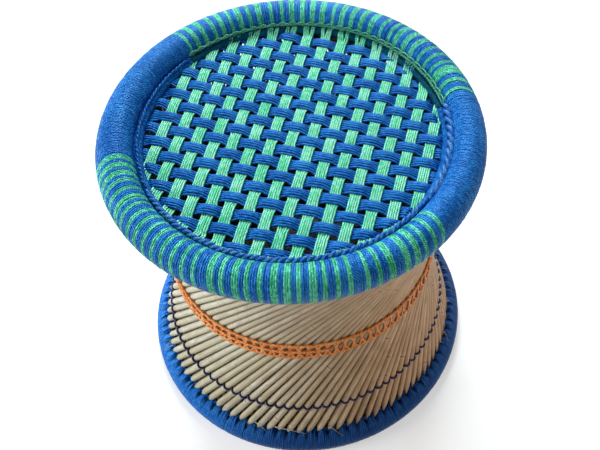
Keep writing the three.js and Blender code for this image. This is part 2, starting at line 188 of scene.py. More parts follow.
def make_piece(name, parts, finish, slot, *stands_for):
    """One mesh from the skins in parts, with its finish and the nodes it stands for. slot, its material
    slot, is not used.
    """
    points = np.concatenate([part["points"] for part in parts])
    starts = np.cumsum([0] + [len(part["points"]) for part in parts[:-1]])
    corners = [(part["quads"] + start).ravel() for part, start in zip(parts, starts)]
    sizes = [np.full(len(part["quads"]), 4) for part in parts]
    uv = [part["uv"] for part in parts]
    for part, start in zip(parts, starts):
        corners.append((part["caps"] + start).ravel())
        sizes.append(np.full(len(part["caps"]), part["caps"].shape[1]))
        uv.append(np.full((part["caps"].size, 2), 0.5))
    corners, sizes, uv = np.concatenate(corners), np.concatenate(sizes), np.concatenate(uv)
    quad_count = sum(len(part["quads"]) for part in parts)

    mesh = bpy.data.meshes.new(name)
    mesh.vertices.add(len(points))
    mesh.vertices.foreach_set("co", points.astype(np.float32).ravel())
    mesh.loops.add(len(corners))
    mesh.loops.foreach_set("vertex_index", corners.astype(np.int32))
    mesh.polygons.add(len(sizes))
    mesh.polygons.foreach_set("loop_start", (np.cumsum(sizes) - sizes).astype(np.int32))
    mesh.polygons.foreach_set("use_smooth", np.arange(len(sizes)) < quad_count)
    mesh.update(calc_edges=True)
    mesh.uv_layers.new(name="run_and_turn").uv.foreach_set("vector", uv.astype(np.float32).ravel())
    tone = np.concatenate([part["tone"] for part in parts]).astype(np.float32)
    mesh.attributes.new("tone", "FLOAT", "POINT").data.foreach_set("value", tone)
    mesh.materials.append(finish)

    piece = bpy.data.objects.new(name, mesh)
    bpy.context.scene.collection.objects.link(piece)
    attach(piece, "root")
    if stands_for:
        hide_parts(*stands_for)


# Finishes


def srgb(red, green, blue):
    """The linear colour of a display colour from 0 to 255: ((c + 0.055) / 1.055)^2.4 for each part c, and
    c / 12.92 for a dark one."""
    parts = np.array([red, green, blue]) / 255
    return (*np.where(parts > 0.04045, ((parts + 0.055) / 1.055) ** 2.4, parts / 12.92), 1)


class Wire:
    """A node's output. Sums written on it add Math nodes to its tree."""

    def __init__(self, nodes, socket):
        self.nodes, self.socket = nodes, socket

    def maths(self, operation, *values):
        return self.nodes.node("ShaderNodeMath", {"operation": operation}, values)

    def __add__(self, other):
        return self.maths("ADD", self, other)

    def __radd__(self, other):
        return self.maths("ADD", other, self)

    def __sub__(self, other):
        return self.maths("SUBTRACT", self, other)

    def __rsub__(self, other):
        return self.maths("SUBTRACT", other, self)

    def __mul__(self, other):
        return self.maths("MULTIPLY", self, other)

    def __rmul__(self, other):
        return self.maths("MULTIPLY", other, self)

    def __truediv__(self, other):
        return self.maths("DIVIDE", self, other)

    def __pow__(self, other):
        return self.maths("POWER", self, other)

    def larger(self, other):
        return self.maths("MAXIMUM", self, other)

    def fraction(self):
        return self.maths("FRACT", self)

    def size(self):
        return self.maths("ABSOLUTE", self)

    def cosine(self):
        return self.maths("COSINE", self)

    def sine(self):
        return self.maths("SINE", self)

    def band(self, low, high):
        """0 below low, 1 above high and a smooth rise between."""
        settings = {"interpolation_type": "SMOOTHSTEP"}
        return self.nodes.node("ShaderNodeMapRange", settings, [self, low, high])


class Nodes:
    """A tree that nodes are added to."""

    def __init__(self, tree):
        self.tree = tree

    def node(self, kind, settings=None, values=(), output=0):
        """A node with its settings made first, and then its sockets given numbers, colours or wires."""
        node = self.tree.nodes.new(kind)
        for key, value in (settings or {}).items():
            setattr(node, key, value)
        pairs = values.items() if isinstance(values, dict) else enumerate(values)
        for socket, value in pairs:
            if isinstance(value, Wire):
                self.tree.links.new(value.socket, node.inputs[socket])
            else:
                node.inputs[socket].default_value = value
        return Wire(self, node.outputs[output])

    def background_seen(self):
        """1 for the rays that see the background: the camera's, gloss's and glass's."""
        rays = ("Is Camera Ray", "Is Glossy Ray", "Is Transmission Ray")
        camera, gloss, glass = (self.node("ShaderNodeLightPath", {}, (), ray) for ray in rays)
        return camera.larger(gloss).larger(glass)


class Finish(Nodes):
    """A material whose Principled shader is fed by node expressions."""

    def __init__(self, name, **fixed):
        self.material = bpy.data.materials.new(name)
        self.material.use_nodes = True
        super().__init__(self.material.node_tree)
        self.shader = self.tree.nodes["Principled BSDF"]
        for socket, value in fixed.items():
            self.shader.inputs[socket.replace("_", " ")].default_value = value

    def feed(self, socket, wire):
        self.tree.links.new(wire.socket, self.shader.inputs[socket])

    def part(self, vector, axis):
        """The x, y or z of a vector, for axis 0, 1 or 2."""
        return self.node("ShaderNodeSeparateXYZ", {}, [vector], axis)

    def run_and_turn(self):
        """The metres run along a tube, and the share of a turn round it."""
        uv = self.node("ShaderNodeUVMap", {"uv_map": "run_and_turn"})
        return self.part(uv, 0), self.part(uv, 1)

    def tone(self):
        return self.node("ShaderNodeAttribute", {"attribute_name": "tone"}, (), "Fac")

    def place(self):
        return self.node("ShaderNodeTexCoord", {}, (), "Object")

    def vector(self, x, y, z):
        return self.node("ShaderNodeCombineXYZ", {}, [x, y, z])

    def noise(self, vector, scale, detail=2.0, roughness=0.5):
        values = {"Vector": vector, "Scale": scale, "Detail": detail, "Roughness": roughness}
        return self.node("ShaderNodeTexNoise", {}, values)

    def mix(self, share, first, second):
        """first where share is 0 and second where it is 1, for colours."""
        return self.node("ShaderNodeMix", {"data_type": "RGBA"}, {0: share, 6: first, 7: second}, 2)

    def towards_right(self, low, high, colours, right_colours):
        """The colours, each changed to its own right colour from x = low to x = high."""
        share = self.part(self.place(), 0).band(low, high)
        return [self.mix(share, colour, right) for colour, right in zip(colours, right_colours)]

    def bump(self, height, distance, strength=1.0):
        values = {"Height": height, "Distance": distance, "Strength": strength}
        self.feed("Normal", self.node("ShaderNodeBump", {}, values))


def cord_finish(name, base, light, dark, lay=6.4 * MM, plies=3, depth=0.6, side_shade=0.75, right=None):
    """Twisted cord. Its plies lie at (turn + run / lay) times their number, and each ply is a dome
    sqrt(1 - 0.98 (2 p - 1)^2) over its own share p of the width, with fine filaments along it. Painted
    shade darkens the furrows by the share depth and the cord's flanks by the share side_shade. Painted
    highlights, light streaks of about 4 mm on the plies' crests, run along the cord, with darker mottles of
    painted shade where they are faint. Its gloss has the colour of its light parts. right holds the base,
    light and dark colours that the cord takes on towards the stool's right."""
    finish = Finish(name, Specular_IOR_Level=0.9, Specular_Tint=light)
    run, turn = finish.run_and_turn()
    tone = finish.tone()
    if right:
        base, light, dark = finish.towards_right(-170 * MM, -40 * MM, (base, light, dark), right)
    ply = (turn + run / lay) * plies
    share = ply.fraction() * 2 - 1
    dome = (1 - share * share * 0.98) ** 0.5
    filament = finish.noise(finish.vector(ply * 7, run * 300, tone * 40), 1.0, 3.0)
    streak = finish.noise(finish.vector(turn * 1.5, run * 270, tone * 90), 1.0, 1.0)
    patch = finish.noise(finish.place(), 34.0, 3.0)
    # Painted highlights: light streaks on the plies' crests. Painted shade: darker mottles where the streaks
    # are faint
    bright = (streak - 0.4) * 3.0 + (patch - 0.5) * 1.2 + (filament - 0.5)
    glint = dome.band(0.62, 1.0) * bright.band(0.0, 0.7)
    painted_mottle_shade = ((0.42 - streak) * 4 + (0.5 - patch)).band(0.0, 1.0)
    painted_glint_and_shade = finish.mix(glint, finish.mix(painted_mottle_shade * 0.3, base, dark), light)
    # Painted shade: darker in the furrows between the plies and on the cord's flanks, towards the dark
    # colour
    painted_furrow_shade = (dome * 0.9 + filament * 0.2).band(0.3, 0.85)
    flank = ((turn + 0.5).fraction() - 0.5).size().band(0.1, 0.26)
    painted_lit_share = (painted_furrow_shade * depth + (1 - depth)) * (1 - flank * side_shade)
    finish.feed("Base Color", finish.mix(painted_lit_share, dark, painted_glint_and_shade))
    finish.feed("Roughness", 0.37 - glint * 0.12 + (1 - dome) * 0.2)
    finish.bump(dome * depth + filament * 0.15 + streak * 0.25, 0.7 * MM)
    return finish.material


def reed_finish(name, pale, straw, brown, joint_gap=0.26, right=None):
    """Dry reed. The fibres are noise stretched along the run. A joint is a dark line once in each joint_gap
    of the run, moved by the reed's tone, with a paler collar beside it, and shows where a blotch lies on it.
    Below 37 mm the reeds are browner. right holds the pale, straw and brown tones of the reeds towards the
    stool's right, a change of tone that is painted light."""
    finish = Finish(name, Specular_IOR_Level=0.45, Coat_Weight=0.12, Coat_Roughness=0.35)
    run, turn = finish.run_and_turn()
    tone = finish.tone()
    if right:
        pale, straw, brown = finish.towards_right(-130 * MM, 130 * MM, (pale, straw, brown), right)
    east, north = (turn * TURN).cosine(), (turn * TURN).sine()
    fibre = finish.noise(finish.vector(east * 2.6, north * 2.6, run * 16 + tone * 90), 3.2, 5.0, 0.6)
    blotch = finish.noise(finish.vector(east * 0.5, north * 0.5, run * 28 + tone * 50), 1.4, 3.0)
    speck = finish.noise(finish.vector(east * 3, north * 3, run * 420 + tone * 70), 2.0, 2.0)
    from_joint = ((run / joint_gap + tone * 7).fraction() - 0.5).size() * (joint_gap / MM)
    line = 1 - (from_joint + (speck - 0.5) * 1.8).band(0.2, 1.1)
    collar = 1 - from_joint.band(1.5, 8.0)
    cut = 1 - finish.part(finish.place(), 2).band(27 * MM, 37 * MM)
    stain = (blotch * 1.1 + tone * 0.25).band(0.55, 0.95) * 0.6
    body = finish.mix((fibre * 0.75 + tone * 0.5 - 0.25).band(0.1, 0.85), straw, pale)
    stained = finish.mix(stain + cut * (0.7 - stain) * tone, body, brown)
    collared = finish.mix(collar * 0.35, stained, pale)
    dotted = finish.mix((speck - 0.6).band(0.0, 0.15) * 0.4, collared, brown)
    finish.feed("Base Color", finish.mix(line * blotch.band(0.4, 0.55) * 0.9, dotted, srgb(72, 54, 32)))
    finish.feed("Roughness", 0.62 - fibre * 0.25 + line * 0.2)
    finish.bump(fibre * 0.5 + speck * 0.15 - line * 0.6 + collar * 0.3, 0.35 * MM, 0.6)
    return finish.material


blue_cord = cord_finish(
    "blue cord", srgb(6, 80, 162), srgb(56, 156, 236), srgb(2, 36, 96), lay=8 * MM, depth=0.55
)
# The base ring's cord goes from bright blue on the stool's left to navy on its right: partly the cord's own
# navy, partly painted light on the window's side and painted shade away from it
base_cord = cord_finish(
    "base ring cord", srgb(10, 96, 190), srgb(70, 170, 250), srgb(4, 48, 124),
    right=(srgb(8, 38, 100), srgb(34, 76, 148), srgb(4, 18, 60)),
)
green_cord = cord_finish("green cord", srgb(18, 148, 98), srgb(136, 255, 222), srgb(0, 80, 60))
seat_green = cord_finish("seat green cord", srgb(58, 204, 148), srgb(192, 255, 234), srgb(4, 110, 82))
seat_blue = cord_finish(
    "seat blue cord", srgb(4, 78, 160), srgb(44, 150, 230), srgb(0, 42, 104), depth=0.5, side_shade=0.5
)
# The edge chains take lighter copies of the blue and green cords, as painted light on the chains at the
# seat's edge. The left length keeps the seat's darker blue
lit_chain_blue = cord_finish(
    "edge chain cord", srgb(34, 130, 224), srgb(140, 214, 255), srgb(0, 56, 140), lay=9 * MM, plies=4
)
lit_chain_green = cord_finish(
    "edge loop cord", srgb(92, 212, 156), srgb(190, 255, 228), srgb(10, 112, 80), lay=6 * MM
)
# Painted shade: a dark teal cord, put where the seat's edge at the back lies in shade
hoop_shade_cord = cord_finish("hoop binding cord", srgb(4, 66, 96), srgb(14, 112, 132), srgb(0, 34, 56))
orange_cord = cord_finish(
    "orange cord", srgb(226, 130, 60), srgb(250, 184, 116), srgb(182, 86, 40),
    lay=4.4 * MM, plies=2, side_shade=0.25,
)
navy_twine = cord_finish(
    "navy twine", srgb(34, 34, 74), srgb(90, 90, 140), srgb(14, 14, 36), lay=3 * MM, plies=2
)
# Painted light: the outer reeds go from pale, cool tones on the stool's left, where the window's light
# falls, to warmer tan tones on its right
reed = reed_finish(
    "reed", srgb(212, 210, 190), srgb(176, 166, 134), srgb(132, 112, 82),
    right=(srgb(222, 184, 144), srgb(192, 154, 114), srgb(136, 100, 62)),
)
# The inner reeds are darker than the outer ones: partly their own browner colour, partly painted shade for
# the layer behind the outer reeds
inner_reed = reed_finish("inner reed", srgb(186, 166, 128), srgb(150, 128, 90), srgb(100, 78, 48))
grass = reed_finish("bundled grass", srgb(178, 156, 104), srgb(140, 115, 68), srgb(92, 70, 40), 0.11)
# The cane's dark brown is partly wear and partly painted shade on the hoop under the seat's edge
cane = reed_finish("cane", srgb(104, 80, 52), srgb(80, 58, 36), srgb(52, 36, 22), 0.13)


# Reeds


def waist_angles(layer):
    """Angles of a layer's reeds at the waist: groups evenly round, and reeds side by side in a group, with
    their step over (waist cos(lean)) between two."""
    groups = layer.count // layer.group
    place = np.arange(layer.group) - (layer.group - 1) / 2
    step = layer.step / (layer.waist * math.cos(layer.lean))
    return (full_turn(groups)[:, None] + place * step).ravel()


def reed_line(layer, angles, heights):
    """Points of straight reeds: the waist point plus the axis (sense sin(lean) round the ring, cos(lean)
    up) times (height - waist height) / cos(lean)."""
    axis = layer.sense * math.sin(layer.lean) * onwards(angles) + math.cos(layer.lean) * UP
    start = ring_point(angles, layer.waist, WAIST_HEIGHT)
    reach = (heights - WAIST_HEIGHT) / math.cos(layer.lean)
    return start[:, None] + axis[:, None] * reach[..., None]


def outer_reed_radius(height):
    """Distance of the outer reeds' middle lines from the axis: sqrt(waist^2 + (tan(lean) dz)^2)."""
    return np.hypot(OUTER.waist, math.tan(OUTER.lean) * (height - WAIST_HEIGHT))


def outer_reed_turn(height):
    """How far round the ring a reed is from its waist point at a height: atan(tan(lean) dz / waist)."""
    return np.arctan(math.tan(OUTER.lean) * (height - WAIST_HEIGHT) / OUTER.waist)


def reeds(layer, seed):
    """Sticks cut to a point. Over a tip's length their size is size (p + (1 - p) (1 - (1 - s)^1.7)^0.8), s
    being the share of it run and p the point's width, and the middle line moves aside as the stick
    narrows, so that one flank stays straight. Towards the stool's right the tips grow to 1.6 times their
    length, with 1.2 for 1.7 and narrower points. The sticks thicken by 8% towards the foot, and bow."""
    rng = np.random.default_rng(seed)
    each = (layer.count, 1)
    share = np.concatenate([np.linspace(0, 1, 9) ** 1.3 * 0.05, np.linspace(0.075, 1, 27)])
    foot = layer.foot + rng.uniform(0, 1, each) * layer.tip * 0.22
    heights = foot + (REED_TOP - foot) * share
    angles = waist_angles(layer) + rng.normal(0, 0.0012, layer.count)
    path = reed_line(layer, angles, heights)
    radial, side = outwards(angles)[:, None], onwards(angles)[:, None]
    bow = np.sin(math.pi * share) * rng.normal(0, 0.35 * MM, each)
    path = path + bow[..., None] * side + (np.sin(2 * math.pi * share) * bow * 0.6)[..., None] * radial

    run = (heights - foot) / math.cos(layer.lean)
    right_hand = smooth_step(np.cos(angles - layer.sense * 0.6) + 0.3)[:, None]
    rise = np.clip(run / (layer.tip * (1 + 0.6 * right_hand)), 0, 1)
    point = rng.uniform(0.05, 0.35, each) * (1 - 0.6 * right_hand)
    profile = point + (1 - point) * (1 - (1 - rise) ** (1.7 - 0.5 * right_hand)) ** 0.8
    waver = 1 + 0.03 * np.sin(share * 9 + rng.uniform(0, TURN, each))
    own_size = layer.size * rng.uniform(0.93, 1.03, each) * (1 + 0.08 * np.clip(1 - 2.2 * share, 0, 1))
    narrowed = (1 - profile) * own_size
    aside = narrowed * rng.uniform(-0.5, 0.9, each) * (1 - 0.75 * right_hand)
    path = path - aside[..., None] * side + (narrowed * 0.3)[..., None] * radial
    tone, shift = rng.uniform(0, 1, layer.count), rng.uniform(0, 1, layer.count)
    size = own_size * profile * waver
    return tubes(path, radial, size, size, sides=14, shift=shift, tone=tone)


outer_names = sorted(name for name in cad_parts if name.startswith("outer_reeds"))
inner_names = sorted(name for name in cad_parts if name.startswith("inner_reeds"))
make_piece("outer_reed_sticks", [reeds(OUTER, 3)], reed, "reed", *outer_names)
make_piece("inner_reed_sticks", [reeds(INNER, 5)], inner_reed, "inner_reed", *inner_names)


# Rolls: the bundles inside, and the turns of cord round them


def bundle(ring_radius, ring_height, reach, spacing, keep, stations, seed):
    """Stalks side by side along a ring: a triangular lattice of places (x, z) in the ring's section with
    x^2 + z^2 below reach^2 and keep(x, z) true, each swaying a little to and fro as it runs."""
    rng = np.random.default_rng(seed)
    line = np.arange(-12, 13)
    column, row = np.meshgrid(line, line)
    x = ((column + 0.5 * (row % 2)) * spacing).ravel()
    z = (row * spacing * math.sqrt(3) / 2).ravel()
    inside = (np.hypot(x, z) < reach) & keep(x, z)
    x, z = x[inside, None], z[inside, None]
    count = len(x)
    angle = full_turn(stations)
    sway = rng.normal(0, 0.12 * spacing, (count, 1)) * np.sin(angle * 5 + rng.uniform(0, TURN, (count, 1)))
    path = ring_point(angle, ring_radius + x + sway, ring_height + z + sway)
    size = spacing * 0.5 * rng.uniform(0.85, 1.02, (count, 1))
    shift, tone = rng.uniform(0, 1, count), rng.uniform(0, 1, count)
    return tubes(path, outwards(angle), size, size, sides=6, closed=True, shift=shift, tone=tone)


above_flat = lambda x, z: z > RIM_FLAT - RIM_HEIGHT + 4 * MM
off_the_reeds = lambda x, z: (x > -4 * MM) | (z < 0)
rim_stalks = bundle(RIM_RADIUS, RIM_HEIGHT, 15.1 * MM, 3.3 * MM, above_flat, 120, 11)
make_piece("rim_bundle", [rim_stalks], grass, "stuffing", "rim_stuffing")
base_stalks = bundle(BASE_RADIUS, BASE_HEIGHT, 9 * MM, 2.9 * MM, off_the_reeds, 150, 13)
make_piece("base_bundle", [base_stalks], grass, "stuffing", "base_stuffing")


def turn_count(start, end):
    """How many of the rim's turns lie between two places in degrees."""
    return round((end - start) / 360 * RIM_TURNS)


def stripe_plan(count, period, green_share, wide_blue, wide_green, seed):
    """True for each green turn. Green and blue turns follow one another in periods of so many turns, of
    which the green share is rounded up or down at random; now and then a run is two or three turns wider."""
    rng = np.random.default_rng(seed)
    plan = []
    while len(plan) < count:
        turns = int(period + rng.uniform())
        green = int(period * green_share + rng.uniform())
        blue = turns - green + 2 * (rng.uniform() < wide_blue)
        plan += [True] * (green + 3 * (rng.uniform() < wide_green)) + [False] * blue
    return np.array(plan[:count])


def rim_turns(start, end, seed, kept=slice(None)):
    """Closed turns of cord round the rim roll, of which the kept ones are made. A turn's middle line at
    angle f round the roll is (ring radius + r cos(f), height + r sin(f)), r being the roll's radius less
    half the cord, kept above the roll's flat underside. Its place round the ring is moved by
    slant sin(f - 0.6), the slant following the cosine of that place, as a winder's hand turns from side to
    side. A turn's first station is at the seam, low on the roll's inner side."""
    rng = np.random.default_rng(seed)
    count = turn_count(start, end)
    pitch = math.radians(end - start) / count
    angle = math.radians(start) + pitch * (np.arange(count) + 0.5 + rng.normal(0, 0.05, count))
    slant = pitch * (2.6 * np.cos(angle) + rng.normal(0, 0.08, count) + 0.5 * np.sin(angle * 7 + seed))
    depth = RIM_ROLL - CORD_HIGH + rng.normal(0, 0.09 * MM, count)
    tone, shift = rng.uniform(0, 1, count)[kept], rng.uniform(0, 1, count)[kept]
    phase = rng.uniform(-0.16, 0.16, count)
    angle, slant, depth, phase = (values[kept, None] for values in (angle, slant, depth, phase))
    seam = -1.9
    turn = full_turn(20) + seam + phase
    place = angle + slant * np.sin(turn - 0.6)
    radius = RIM_RADIUS + depth * np.cos(turn)
    height = np.maximum(RIM_HEIGHT + depth * np.sin(turn), RIM_FLAT + CORD_HIGH)
    outward = ring_point(place, np.cos(turn), np.sin(turn))
    wide = CORD_WIDE_SHARE * pitch * radius
    path = ring_point(place, radius, height)
    return tubes(path, outward, CORD_HIGH, wide, sides=6, closed=True, shift=shift, tone=tone)


front_plan = stripe_plan(turn_count(FRONT_START, RIGHT_START), 5.0, 0.5, 0.1, 0.0, 21)
back_plan = stripe_plan(turn_count(BACK_START, LEFT_START), 5.8, 0.46, 0.0, 0.12, 22)
for side, start, end, seed, is_green in (
    ("front", FRONT_START, RIGHT_START, 31, front_plan),
    ("back", BACK_START, LEFT_START, 32, back_plan),
):
    turns = rim_turns(start, end, seed, ~is_green)
    make_piece(f"rim_{side}_blue_turns", [turns], blue_cord, "blue_cord", f"rim_wrap_striped_{side}")
    turns = rim_turns(start, end, seed, is_green)
    node = f"green_winding_striped_{side}"
    make_piece(f"rim_{side}_green_turns", [turns], green_cord, "green_cord", node)
for side, start, end, seed in (
    ("left", LEFT_START, FRONT_START, 33),
    ("right", RIGHT_START, BACK_START + 360, 34),
):
    turns = rim_turns(start, end, seed)
    make_piece(f"rim_{side}_turns", [turns], blue_cord, "blue_cord", f"rim_wrap_blue_{side}")


def base_turns(seed):
    """Turns of cord round the base roll, six to each gap between outer reeds. Over the roll's top, from 58
    to 102 degrees, a turn lifts by 9 mm (1 - (2 |offset|)^3), so that the cords stand in peaks between the
    reeds, and from 84 to 114 degrees it closes on its gap by a fifth. The turns stop where the inner reeds
    stand."""
    rng = np.random.default_rng(seed)
    count = OUTER.count * TURNS_PER_GAP
    foot = waist_angles(OUTER) + outer_reed_turn(OUTER.foot + 0.5 * MM)
    gap = np.repeat(foot + 0.5 * np.diff(foot, append=foot[0] + TURN), TURNS_PER_GAP)[:, None]
    spot = (np.arange(TURNS_PER_GAP) - (TURNS_PER_GAP - 1) / 2) / TURNS_PER_GAP
    offset = (np.tile(spot, OUTER.count) + rng.normal(0, 0.012, count))[:, None]
    below, above = np.linspace(-193, -20, 6), np.linspace(5, 122, 9)
    turn = np.radians(np.concatenate([below, above]))
    closing = smooth_step((turn - math.radians(84)) / math.radians(30))
    angle = gap + offset * TURN / OUTER.count * (1 - 0.2 * closing)
    peak = 9 * MM * (1 - np.abs(2 * offset) ** 3) * rng.uniform(0.7, 1.1, (count, 1))
    lift = peak * smooth_step((turn - math.radians(58)) / math.radians(44))
    depth = BASE_ROLL - CORD_HIGH + rng.normal(0, 0.08 * MM, (count, 1)) + lift
    radius = BASE_RADIUS + depth * np.cos(turn)
    height = np.maximum(BASE_HEIGHT + depth * np.sin(turn), CORD_HIGH * 0.7)
    outward = ring_point(angle, np.cos(turn), np.sin(turn))
    wide = CORD_WIDE_SHARE * TURN / count * radius
    high = np.where(height < CORD_HIGH, 0.7, 1.0) * CORD_HIGH
    shift, tone = rng.uniform(0, 1, count), rng.uniform(0, 1, count)
    return tubes(ring_point(angle, radius, height), outward, high, wide, sides=5, shift=shift, tone=tone)


def base_fill(seed):
    """Three closed cords that lie among the outer reeds' feet and fill the gaps above the roll."""
    rng = np.random.default_rng(seed)
    angle = full_turn(240)[None]
    height = BASE_TOP + np.array([[1.0], [3.1], [5.2]]) * MM
    path = ring_point(angle, outer_reed_radius(height) - 1 * MM, height)
    shift = rng.uniform(0, 1, len(height))
    return tubes(path, outwards(angle), 1.3 * MM, 1.2 * MM, sides=6, closed=True, shift=shift)


make_piece("base_ring_turns", [base_turns(41), base_fill(42)], base_cord, "navy_cord", "base_wrap")


# Seat


def flattened_wave(angle, flatness):
    """cos(angle) drawn towards a flat top: c / sqrt(c^2 + flatness (1 - c^2))."""
    c = np.cos(angle)
    return c / np.sqrt(c * c + flatness * (1 - c * c))


def moved(even, along, drift):
    """How far a lane that would lie at e is moved at the distance s along it:
    d0 + d1 e + d2 e^2 + d3 e^3 + (d4 + d5 e) s."""
    aside = drift[0] + even * (drift[1] + even * (drift[2] + even * drift[3]))
    return aside + (drift[4] + drift[5] * even) * along


def even_place(place, along, drift):
    """The e for which e + moved(e) is place, found in four steps from e = place."""
    even = place
    for _ in range(4):
        even = place - moved(even, along, drift)
    return even


def ribbons(family, other, seed):
    """Cords of one family of woven ribbons, of which the other one is a quarter of a turn away.

    A cord's height is side rise (-1)^i wave(pi (e / other pitch + half of one less than the other lanes)),
    e being the even place among the other lanes at the cord's point, so that it goes over or under at each
    crossing. On top a cord sinks by dome (place / 2)^2 towards its ribbon's edge. Below, the ribbon is
    wider by the share spread (1 - crest)^2, and between it draws in by 0.06. In the last 7 mm it moves to
    its side of the hoop, where it parts in two, and then goes round the hoop: along by r cos(b) and up by
    r sin(b). The outermost lanes, which meet the hoop aslant, end in its binding."""
    rng = np.random.default_rng(seed)
    lane = np.repeat(np.arange(family.count), CORDS_PER_RIBBON)
    place = np.tile(np.arange(CORDS_PER_RIBBON) - (CORDS_PER_RIBBON - 1) / 2, family.count)
    by_turns = (-1.0) ** lane
    size = family.width / CORDS_PER_RIBBON / 2
    even = family.pitch * (lane - (family.count - 1) / 2)
    middle = even + moved(even, 0, family.drift)
    row = 2 * size * place

    # Stations along each cord: evenly between its two ends, and then round the hoop
    half_chord = np.sqrt(HOOP_RADIUS ** 2 - middle ** 2)
    squareness = half_chord / HOOP_RADIUS
    split = (1.5 * MM * np.sign(place - 0.5 * by_turns) - 0.3 * size * place) * squareness ** 5
    ends = [even + moved(even, way * half_chord, family.drift) + row + split for way in (-1, 1)]
    ends = [np.sqrt(HOOP_RADIUS ** 2 - end ** 2)[:, None] for end in ends]
    clear = HOOP_TUBE + size
    bend = -family.side * np.radians([60, 25, -10, -45])
    near, far = (end + clear * np.cos(bend) * np.minimum(HOOP_RADIUS / end, 2.2) for end in ends)
    share = np.linspace(-1, 1, 104)
    run = np.concatenate([-near[:, ::-1], np.where(share < 0, *ends) * share, far], 1)

    # The weave, for a column of cords
    even, middle, row, split, place, by_turns, squareness = (
        values[:, None] for values in (even, middle, row, split, place, by_turns, squareness)
    )
    line = even + moved(even, run, family.drift)
    crossed = even_place(-family.side * run, family.side * line, other.drift)
    phase = math.pi * (-family.side * crossed / other.pitch + (other.count - 1) / 2)
    sense = family.side * by_turns
    crest = 0.5 + 0.5 * sense * np.cos(phase)
    inside = smooth_step((HOOP_RADIUS - 1 * MM - np.hypot(middle + row, run)) / (7 * MM))
    wider = 1 + (family.spread * (1 - crest) ** 2 - 0.06 * np.sin(phase) ** 2) * inside
    waver = 0.4 * MM * np.sin(run / (37 * MM) + rng.uniform(0, TURN, family.count)[lane][:, None])
    beside = line + row * wider + split * (1 - inside) + waver * inside
    rise = family.rise * (1 + rng.normal(0, 0.05, family.count)[lane][:, None])
    over_hoop = smooth_step((squareness - 0.5) / 0.35)
    lift = rise * sense * flattened_wave(phase, family.flatness) * inside
    lift = lift - (1 - inside) * family.side * clear * over_hoop
    lift = lift - family.dome * (place / 2) ** 2 * crest * inside
    lift = lift + rng.normal(0, 0.1 * MM, (len(lane), 1))
    wrap = clear * np.sin(bend) * over_hoop
    lift[:, :len(bend)], lift[:, -len(bend):] = wrap[:, ::-1], wrap

    across = outwards(family.turn)
    path = beside[..., None] * across + run[..., None] * onwards(family.turn)
    path[..., 2] = SEAT_HEIGHT + lift
    outward = unit(np.cross(across, unit(np.gradient(path, axis=1))))
    tone, shift = rng.uniform(0, 1, len(lane)), rng.uniform(0, 1, len(lane))
    return tubes(path, outward, size, 1.06 * size * wider, sides=6, shift=shift, tone=tone)


make_piece("seat_green_ribbons", [ribbons(GREEN, BLUE, 51)], seat_green, "green_cord", "seat_warp")
make_piece("seat_blue_ribbons", [ribbons(BLUE, GREEN, 52)], seat_blue, "blue_cord", "seat_weft")


def seat_hoop():
    """The hoop's cane: a round tube along a level ring."""
    angle = full_turn(180)[None]
    path = ring_point(angle, HOOP_RADIUS, SEAT_HEIGHT)
    return tubes(path, outwards(angle), HOOP_TUBE, HOOP_TUBE, sides=12, closed=True)


make_piece("seat_hoop_cane", [seat_hoop()], cane, "cane", "seat_hoop")


def twisted_pair(start, end, radius_at, height_at, offset, size, lay, steps, seed, squash=1.0):
    """Two strands wound round a line about the stool's axis: strand k stands off the line by
    offset (squash cos(g), sin(g)) in the plane of the section, g being 2 pi (run / lay + k / 2)."""
    rng = np.random.default_rng(seed)
    closed = end - start >= TURN - 1e-6
    angle = np.linspace(start, end, steps, endpoint=not closed)[None]
    radius, height = radius_at(angle), height_at(angle)
    twists = round((end - start) * float(np.mean(radius)) / lay)
    wind = TURN * twists * (angle - start) / (end - start) + np.array([[0], [math.pi]])
    path = ring_point(angle, radius + offset * squash * np.cos(wind), height + offset * np.sin(wind))
    shift, tone = rng.uniform(0, 1, 2), rng.uniform(0, 1, 2)
    return tubes(path, outwards(angle), size, size, closed=closed, shift=shift, tone=tone)


def loops(start, end, radius, height, pitch, swing, rise, size, seed):
    """A strand thrown into loops: the place run along is s - swing sin(2 pi s / pitch), and its height is
    rise (1 - cos(2 pi s / pitch)) / 2 above the line, less where the swing is small, leaning out over the
    rim as it rises. swing is a function of the angle."""
    rng = np.random.default_rng(seed)
    length = (end - start) * radius
    angle = np.linspace(start, end, round(length / (1.1 * MM)))[None]
    phase = TURN * round(length / pitch) * (angle - start) / (end - start)
    place = angle - swing(angle) * np.sin(phase) / radius
    lift = rise * (1 - np.cos(phase)) / 2 * (0.3 + 0.7 * swing(angle) / swing(angle).max())
    path = ring_point(place, radius + 0.35 * lift, height + lift)
    outward = ring_point(angle, 0.6, -0.5)
    return tubes(path, outward, size, size, sides=6, shift=rng.uniform(), tone=rng.uniform())


def hoop_binding(start, end, seed):
    """Turns of thin cord round the hoop, side by side, which cover its cane between the ribbons. At angle
    b round the hoop a turn is at (hoop radius + r cos(b), seat height + r sin(b))."""
    rng = np.random.default_rng(seed)
    size = 0.95 * MM
    count = round((end - start) * HOOP_RADIUS / (2 * size))
    place = start + (end - start) * (np.arange(count)[:, None] + 0.5) / count
    turn = full_turn(10)
    reach = HOOP_TUBE + 0.9 * size + rng.normal(0, 0.08 * MM, (count, 1))
    path = ring_point(place, HOOP_RADIUS + reach * np.cos(turn), SEAT_HEIGHT + reach * np.sin(turn))
    outward = unit(path - ring_point(place, HOOP_RADIUS, SEAT_HEIGHT))
    shift, tone = rng.uniform(0, 1, count), rng.uniform(0, 1, count)
    return tubes(path, outward, size, 1.1 * size, sides=5, closed=True, shift=shift, tone=tone)


